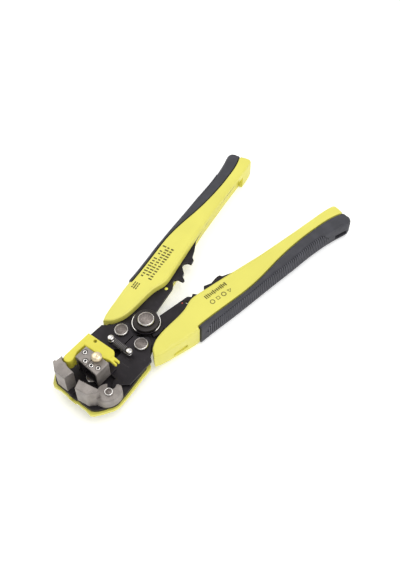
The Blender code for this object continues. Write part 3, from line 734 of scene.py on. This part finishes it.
class MouldGrips(bpy.types.Operator):
    """Finish the rubber grips, grow their ribs in a lighter rubber as painted highlight and dark rows between
    them as painted shade
    """

    bl_idname = "stripper.mould_grips"
    bl_label = "Rubber grips"

    def execute(self, context):
        sizes = context.scene.stripper_sizes
        tree = rib_tree()
        count = int((sizes.rib_end - sizes.rib_start) / sizes.rib_pitch)
        for side, sign in SIDES.items():
            grip = edged(f"{side}_grip", ["rubber"], "dark_rubber", sizes.plastic_edge, 2, 24.0)
            # ribs in the lighter rubber (painted highlight); half a pitch ahead, thinner near-black rows sit
            # in the grooves as painted shade
            for part, ahead, radius, finish in (
                ("ribs", 0.0, sizes.rib_radius, "rib"), ("gaps", 0.5, sizes.rib_radius * 0.88, "gap"),
            ):
                row = grown(f"{side}_grip_{part}", tree, {
                    "Grip": grip, "Side": float(sign), "Start": sizes.rib_start + ahead * sizes.rib_pitch,
                    "Pitch": sizes.rib_pitch, "Count": count, "Radius": radius,
                }, finish)
                adopt(row, f"{side}_handle", "dark_rubber")
        return {"FINISHED"}


class CutLevers(bpy.types.Operator):
    """Finish the steel levers and the paint round their windows"""

    bl_idname = "stripper.cut_levers"
    bl_label = "Levers"

    def execute(self, context):
        sizes = context.scene.stripper_sizes
        for side in SIDES:
            edged(f"{side}_lever", ["black", "black_edge"], "black_steel", sizes.steel_edge)
        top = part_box("right_lever")[1].z
        for side, x, y, radius, paint, sides in (
            ("right", 7.7, -26.0, 1.0, "dot", 28), ("left", -6.0, -23.9, 0.42, "red", 20),
        ):
            spot = lathe(f"{side}_window_paint", (x * MM, y * MM), [
                (radius * MM, top - 0.02 * MM, 0), (radius * MM, top + 0.04 * MM, 0),
            ], [paint], sides)
            adopt(spot, f"{side}_handle", "yellow_plastic")
        return {"FINISHED"}


class CutPlates(bpy.types.Operator):
    """Finish the head's plates, its yellow guards and the centre link"""

    bl_idname = "stripper.cut_plates"
    bl_label = "Head plates"

    def execute(self, context):
        sizes = context.scene.stripper_sizes
        for side in SIDES:
            for part in ("upper_plate", "base_plate", "lower_plate"):
                edged(f"{side}_{part}", ["black", "black_edge"], "black_steel", sizes.steel_edge)
            edged(f"{side}_guard", ["yellow"], "yellow_plastic", sizes.jaw_edge)
        edged("centre_link", ["black", "black_edge"], "black_steel", sizes.steel_edge)
        edged("blade_carriage", ["black", "black_edge"], "black_steel", sizes.steel_edge)
        return {"FINISHED"}


class TurnPivots(bpy.types.Operator):
    """Turn the pivots, discs, posts and pins"""

    bl_idname = "stripper.turn_pivots"
    bl_label = "Pivots and posts"

    def execute(self, context):
        for node, shank, foot, tall, face in (
            ("main_rivet", 2.9, 5.1, 1.2, "pivot_face"), ("right_rivet", 2.6, 1.2, 1.2, "face"),
            ("left_rivet", 2.6, 1.2, 1.2, "face"), ("head_pin", 1.8, 1.0, 1.0, "face"),
        ):
            low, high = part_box(node)
            head, rim = radius_of(node), 0.48 * MM
            foot, tall, shank = low.z + foot * MM, high.z - tall * MM, shank * MM
            made = lathe(f"{node}_finished", middle(node), [
                (head - rim, low.z, 1), (head, low.z + 0.5 * MM, 1), (head, foot, 1), (shank, foot, 1),
                (shank, tall, 1), (head, tall, 1), (head, high.z - 0.5 * MM, 1),
                (head - 0.3 * MM, high.z - 0.16 * MM, 1), (head - rim, high.z, 1),
                (head - rim - 0.1 * MM, high.z, 0), (head - rim - 0.2 * MM, high.z - 0.22 * MM, 0),
                (head - rim - 0.32 * MM, high.z - 0.22 * MM, 0),
                (head - rim - 0.42 * MM, high.z - 0.05 * MM, 0),
            ], [face, "bright"])
            adopt(made, BODY_OF[node], "bright_steel", node)
        self.discs()
        self.posts()
        return {"FINISHED"}

    def discs(self):
        for node, bore, edge, finishes, slot in (
            ("pivot_washer", 7.45, 0.2, ["ring", "ring"], "bright_steel"),
            ("upper_disc", 3.25, 0.35, ["disc", "black_edge"], "black_steel"),
            ("lower_disc", 3.25, 0.35, ["black", "black_edge"], "black_steel"),
        ):
            low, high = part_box(node)
            rim, bore, edge = radius_of(node), bore * MM, edge * MM
            made = washer(f"{node}_finished", middle(node), [
                (bore, low.z, 0), (rim, low.z, 0), (rim, high.z - edge, 1), (rim - edge, high.z, 0),
                (bore, high.z, 0),
            ], finishes)
            adopt(made, BODY_OF[node], slot, node)

    def posts(self):
        for side in SIDES:
            node = f"{side}_spring_pin"
            low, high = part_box(node)
            deck, groove = high.z - POST_TALL, high.z - POST_TALL + POST_GROOVE
            made = lathe(f"{node}_finished", middle(node), [
                (1.2 * MM, low.z, 0), (1.2 * MM, deck, 0), (1.6 * MM, deck, 0),
                (1.6 * MM, groove - 0.1 * MM, 0), (1.45 * MM, groove, 0), (1.0 * MM, groove, 0),
                (1.0 * MM, groove + 1.3 * MM, 0), (1.65 * MM, groove + 1.3 * MM, 0),
                (1.75 * MM, groove + 1.45 * MM, 0),
                (1.75 * MM, high.z - 0.5 * MM, 0), (1.6 * MM, high.z - 0.2 * MM, 0), (1.2 * MM, high.z, 0),
            ], ["bright"], 48)
            adopt(made, BODY_OF[node], "bright_steel", node)


class FormJaws(bpy.types.Operator):
    """Finish the jaws and the bolt that the gripping jaw turns on"""

    bl_idname = "stripper.form_jaws"
    bl_label = "Jaws"

    def execute(self, context):
        sizes = context.scene.stripper_sizes
        for node in ("fixed_jaw", "swing_jaw"):
            edged(node, ["sinter", "sinter_edge"], "sintered_steel", sizes.jaw_edge)
        low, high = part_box("jaw_bolt")
        made = lathe("jaw_bolt_finished", middle("jaw_bolt"), [
            (1.6 * MM, low.z, 1), (1.6 * MM, high.z - 0.8 * MM, 1), (2.3 * MM, high.z - 0.8 * MM, 1),
            (2.3 * MM, high.z - 0.35 * MM, 1), (2.1 * MM, high.z - 0.18 * MM, 1),
            (1.75 * MM, high.z - 0.2 * MM, 0), (1.6 * MM, high.z - 0.42 * MM, 0),
            (1.45 * MM, high.z - 0.42 * MM, 0), (1.3 * MM, high.z - 0.2 * MM, 0),
        ], ["face", "bright"], 56)
        adopt(made, BODY_OF["jaw_bolt"], "bright_steel", "jaw_bolt")
        return {"FINISHED"}


class FormCutter(bpy.types.Operator):
    """Finish the cutter blocks, their blades and screws, and the depth screw"""

    bl_idname = "stripper.form_cutter"
    bl_label = "Cutter"

    def execute(self, context):
        sizes = context.scene.stripper_sizes
        for side in SIDES:
            edged(f"{side}_block", ["sinter", "sinter_edge"], "sintered_steel", sizes.jaw_edge)
            edged(f"{side}_blade", ["black", "black_edge"], "black_steel", sizes.steel_edge)
        for node in ("right_rear_screw", "right_front_screw", "left_inner_screw", "left_outer_screw"):
            self.screw(node)
        self.knob(sizes.knurl_count)
        return {"FINISHED"}

    def screw(self, node):
        low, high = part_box(node)
        rim = radius_of(node)
        # the socket in the head is painted near-black: painted shade in the recess
        made = lathe(f"{node}_finished", middle(node), [
            (rim, low.z, 1), (rim, high.z - 0.2 * MM, 1), (rim - 0.2 * MM, high.z, 1),
            (0.66 * MM, high.z, 0), (0.5 * MM, high.z - 0.5 * MM, 0),
        ], ["gap", "bright"], 40)
        adopt(made, BODY_OF[node], "bright_steel", node)

    def knob(self, count):
        node = "depth_knob"
        low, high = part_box(node)
        x, y = middle(node)
        rim = radius_of(node)
        head = high.z - KNOB_TALL
        body = lathe("knob_blank", (x, y), [
            (1.3 * MM, low.z, 0), (1.3 * MM, head, 0), (rim - 0.35 * MM, head, 0),
            (rim - 0.15 * MM, head + 0.25 * MM, 0), (rim - 0.15 * MM, head + 1.6 * MM, 0),
            (rim - 0.5 * MM, head + 2.05 * MM, 0),
            (rim - 1.1 * MM, head + 2.35 * MM, 0), (rim - 1.9 * MM, high.z, 0),
        ], ["brass"], 72)
        slot = self.slot_tool(x, y, high.z)
        cut = body.modifiers.new("slot", "BOOLEAN")
        cut.operation, cut.object, cut.solver = "DIFFERENCE", slot, "EXACT"
        settle(body)
        bpy.data.objects.remove(slot)
        body.name = "depth_screw_finished"
        adopt(body, BODY_OF[node], "brass", node)
        teeth = grown("depth_screw_knurl", knurl_tree(), {
            "Centre": (x, y, head + 0.95 * MM), "Radius": rim - 0.24 * MM, "Height": 1.25 * MM,
            "Count": count, "Tooth": 0.2 * MM,
        }, "brass")
        adopt(teeth, BODY_OF[node], "brass")

    def slot_tool(self, x, y, top):
        """Thin plate on edge that cuts the slot across the head."""
        slot = lathe(
            "knob_slot_tool", (0.0, 0.0), [(4.0 * MM, -KNOB_SLOT, 0), (4.0 * MM, KNOB_SLOT, 0)], ["brass"], 4
        )
        cos, sin = math.cos(KNOB_SLOT_TURN), math.sin(KNOB_SLOT_TURN)
        for vertex in slot.data.vertices:
            across, up, along = vertex.co
            vertex.co = (x + across * cos - along * sin, y + across * sin + along * cos, top + 3.3 * MM + up)
        mesh_data = bmesh.new()
        mesh_data.from_mesh(slot.data)
        bmesh.ops.recalc_face_normals(mesh_data, faces=mesh_data.faces[:])
        mesh_data.to_mesh(slot.data)
        mesh_data.free()
        return slot


class MouldStop(bpy.types.Operator):
    """Finish the yellow wire stop"""

    bl_idname = "stripper.mould_stop"
    bl_label = "Wire stop"

    def execute(self, context):
        edged("wire_stop", ["stop"], "yellow_plastic", 0.25 * MM, 2, 28.0)
        return {"FINISHED"}


class PaintSpring(bpy.types.Operator):
    """Give the tension spring its blackened finish"""

    bl_idname = "stripper.paint_spring"
    bl_label = "Spring"

    def execute(self, context):
        spring = frame["nodes"]["tension_spring"].data
        spring.materials.clear()
        spring.materials.append(FINISH["coil"])
        return {"FINISHED"}


class PrintMarks(bpy.types.Operator):
    """Print the plain marks on the covers: rows of dashes, a graduation and four outline shapes"""

    bl_idname = "stripper.print_marks"
    bl_label = "Printed marks"

    def execute(self, context):
        sizes = context.scene.stripper_sizes
        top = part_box("right_handle_cover")[1].z
        rows = tick_tree()
        lean = math.radians(9.5)
        table = grown("size_table", rows, {
            "Place": (22.3 * MM, -35.2 * MM, top), "Turn": lean, "Rows": 13, "Columns": 3,
            "Row pitch": sizes.tick_pitch, "Column pitch": 2.7 * MM, "Dash length": 2.0 * MM,
            "Dash width": 0.95 * MM, "Left out": 0.12, "Seed": 11,
        }, "ink")
        adopt(table, "right_handle", "black_steel")
        label = grown("small_label", rows, {
            "Place": (21.0 * MM, -14.6 * MM, top), "Turn": lean + math.pi / 2, "Rows": 3, "Columns": 3,
            "Row pitch": 1.35 * MM, "Column pitch": 1.7 * MM, "Dash length": 1.35 * MM,
            "Dash width": 0.75 * MM, "Left out": 0.05, "Seed": 3,
        }, "ink")
        adopt(label, "right_handle", "black_steel")
        scale = grown("graduation", rows, {
            "Place": (-17.0 * MM, -40.6 * MM, top), "Turn": -lean, "Rows": 13, "Columns": 1,
            "Row pitch": 1.25 * MM, "Column pitch": 2.0 * MM, "Dash length": 2.3 * MM,
            "Dash width": 0.62 * MM, "Left out": 0.0, "Seed": 5,
        }, "ink")
        adopt(scale, "left_handle", "black_steel")
        shapes = bmesh.new()
        for i, corners in enumerate((28, 4, 28, 3)):
            s = i * 4.2 * MM
            centre = (-20.6 * MM - s * math.sin(lean) * 1.15, -33.4 * MM - s * math.cos(lean))
            self.outline(shapes, centre, 1.55 * MM, corners, top)
        mesh = bpy.data.meshes.new("outline_shapes")
        shapes.to_mesh(mesh)
        shapes.free()
        adopt(link(mesh, "outline_shapes", ["ink"]), "left_handle", "black_steel")
        return {"FINISHED"}

    def outline(self, mesh_data, centre, radius, corners, top):
        """A flat closed frame with the given number of corners."""
        thin, low, high = 0.5 * MM, top - 0.01 * MM, top + 0.015 * MM
        rings = [
            [
                mesh_data.verts.new((
                    centre[0] + r * math.cos(2 * math.pi * i / corners + 0.6),
                    centre[1] + r * math.sin(2 * math.pi * i / corners + 0.6), z,
                ))
                for i in range(corners)
            ]
            for r, z in ((radius - thin, low), (radius, low), (radius, high), (radius - thin, high))
        ]
        for k in range(4):
            a, b = rings[k], rings[(k + 1) % 4]
            for i in range(corners):
                j = (i + 1) % corners
                mesh_data.faces.new((a[i], a[j], b[j], b[i]))


class SetStage(bpy.types.Operator):
    """Lay the pale floor, hang the lights and place the camera"""

    bl_idname = "stripper.set_stage"
    bl_label = "Stage"

    def execute(self, context):
        studio = context.scene.stripper_studio
        self.floor(studio)
        for name, place, size, power in (
            ("key_light", (-0.3, -0.15, 0.75), 0.7, studio.key),
            ("fill_light", (0.5, -0.1, 0.6), 0.6, studio.fill),
            ("front_light", (-0.3, 0.75, 0.35), 0.5, studio.fill * 0.1),
        ):
            lamp = bpy.data.lights.new(name, "AREA")
            lamp.shape, lamp.size, lamp.energy = "DISK", size, power
            lit = bpy.data.objects.new(name, lamp)
            context.scene.collection.objects.link(lit)
            lit.location = place
            lit.rotation_euler = (-Vector(place)).to_track_quat("-Z", "Y").to_euler()
        world = bpy.data.worlds.new("studio")
        world.use_nodes = True
        world.node_tree.nodes.clear()
        graph = Graph(world.node_tree)
        glow = graph.get("ShaderNodeBackground", None, {"Color": (1, 1, 1, 1), "Strength": studio.sky})
        graph.add("ShaderNodeOutputWorld", None, {"Surface": glow})
        context.scene.world = world
        lens = bpy.data.cameras.new("camera")
        lens.lens, lens.clip_start = 46.5, 0.01
        camera = bpy.data.objects.new("camera", lens)
        context.scene.collection.objects.link(camera)
        camera.location = CAMERA_PLACE
        aim = CAMERA_AIM - camera.location
        camera.rotation_euler = aim.to_track_quat("-Z", "Y").to_euler()
        context.scene.camera = camera
        context.scene.view_settings.view_transform = "Standard"
        return {"FINISHED"}

    def floor(self, studio):
        mesh = bpy.data.meshes.new("floor")
        corners = [(x * FLOOR_HALF, y * FLOOR_HALF, 0) for x, y in ((-1, -1), (1, -1), (1, 1), (-1, 1))]
        mesh.from_pydata(corners, [], [(0, 1, 2, 3)])
        paper, g = new_material("floor_paper", studio.floor)
        fibre = g.noise(1.2, 4.0)
        surface(g, {
            "Base Color": g.mix(fibre, rgba(studio.floor, 0.99), rgba(studio.floor)),
            "Roughness": 0.9,
            "Specular IOR Level": 0.1,
            "Emission Color": (1.0, 1.0, 1.0, 1.0),
            "Emission Strength": 0.3,
        })
        mesh.materials.append(paper)
        ground = bpy.data.objects.new("floor", mesh)
        bpy.context.scene.collection.objects.link(ground)
        ground.location.z = -0.0002


STEPS = (
    MixFinishes, MouldCovers, MouldGrips, CutLevers, CutPlates, TurnPivots, FormJaws, FormCutter,
    MouldStop, PaintSpring, PrintMarks, SetStage,
)


class StripperPanel(bpy.types.Panel):
    """Sizes, colours and making steps of the wire stripper"""

    bl_idname = "VIEW3D_PT_stripper"
    bl_label = "Wire stripper"
    bl_space_type = "VIEW_3D"
    bl_region_type = "UI"
    bl_category = "Stripper"

    def draw(self, context):
        for group in ("stripper_sizes", "stripper_colours", "stripper_studio"):
            values = getattr(context.scene, group)
            box = self.layout.box()
            for name in values.bl_rna.properties.keys():
                if name not in ("rna_type", "name"):
                    box.prop(values, name)
        for operator in STEPS:
            self.layout.operator(operator.bl_idname)


GROUPS = {
    "stripper_sizes": StripperSizes,
    "stripper_colours": StripperColours,
    "stripper_studio": StudioSettings,
}


def register():
    for cls in (*GROUPS.values(), *STEPS, StripperPanel):
        bpy.utils.register_class(cls)
    for name, cls in GROUPS.items():
        setattr(bpy.types.Scene, name, PointerProperty(type=cls))


def unregister():
    for name in GROUPS:
        delattr(bpy.types.Scene, name)
    for cls in (StripperPanel, *reversed(STEPS), *GROUPS.values()):
        bpy.utils.unregister_class(cls)


def main():
    register()
    for operator in STEPS:
        group, name = operator.bl_idname.split(".")
        getattr(getattr(bpy.ops, group), name)()


if __name__ == "__main__":
    main()
